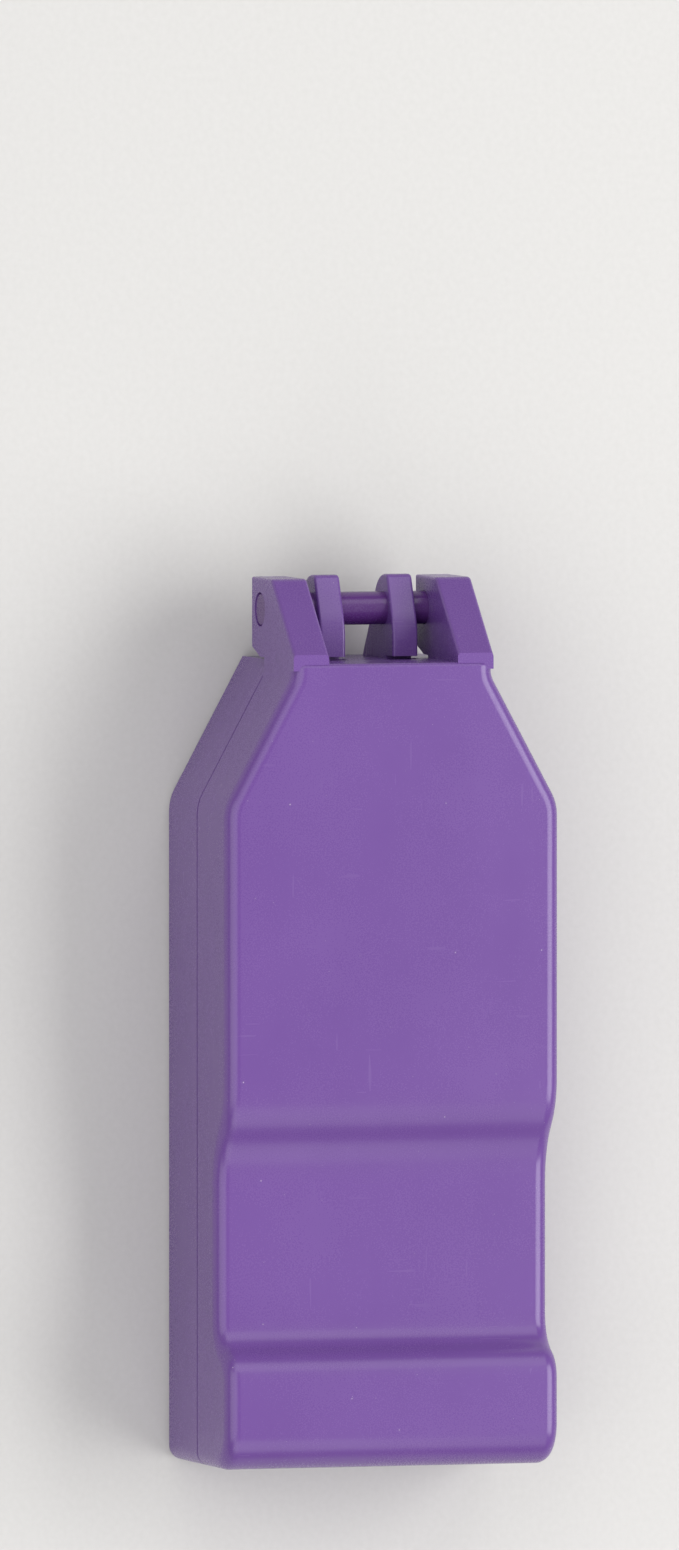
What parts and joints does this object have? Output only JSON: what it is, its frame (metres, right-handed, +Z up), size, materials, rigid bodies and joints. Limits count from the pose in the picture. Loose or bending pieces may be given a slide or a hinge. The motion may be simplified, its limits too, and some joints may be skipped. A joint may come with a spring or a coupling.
{
  "type": "pill splitter",
  "caption": "Pocket pill splitter: hinged plastic case with a finger recess in its lid, a steel blade under the lid, and a V seat and storage bins in its base.",
  "frame": {"origin": "Middle of the underside of the closed case, which is the bottom centre of its bounding box", "axes": "X across the case, Y along it with the hinge at +Y and the front lip at -Y, Z up, lid on top"},
  "size_m": [0.045, 0.115, 0.027],
  "materials": {
    "base_shell": "semi-gloss moulded purple plastic",
    "lid_shell": "semi-gloss moulded purple plastic",
    "pin_plastic": "semi-gloss moulded plastic, darker purple",
    "blade_steel": "fine-ground stainless steel strip",
    "carrier_plastic": "white moulded plastic, fine texture",
    "screw_steel": "zinc-plated steel",
    "cradle_plastic": "white moulded plastic, fine texture",
    "grip_rubber": "soft dark grey elastomer, ribbed",
    "tray_plastic": "white moulded plastic, fine texture"
  },
  "bodies": {
    "base": {"base_tub": "base_shell", "hinge_pin": "pin_plastic", "pill_cradle": "cradle_plastic", "grip_pad_left": "grip_rubber", "grip_pad_right": "grip_rubber", "storage_tray": "tray_plastic"},
    "lid": {"lid_cover": "lid_shell", "blade": "blade_steel", "blade_carrier": "carrier_plastic", "blade_clamp": "carrier_plastic", "carrier_screws": "screw_steel"}
  },
  "joints": [
    {"name": "lid_hinge", "type": "hinge", "parent": "base", "child": "lid", "pos_m": [0, 0.0531, 0.012], "axis": [-1, 0, 0], "range_deg": [0, 120]}
  ]
}
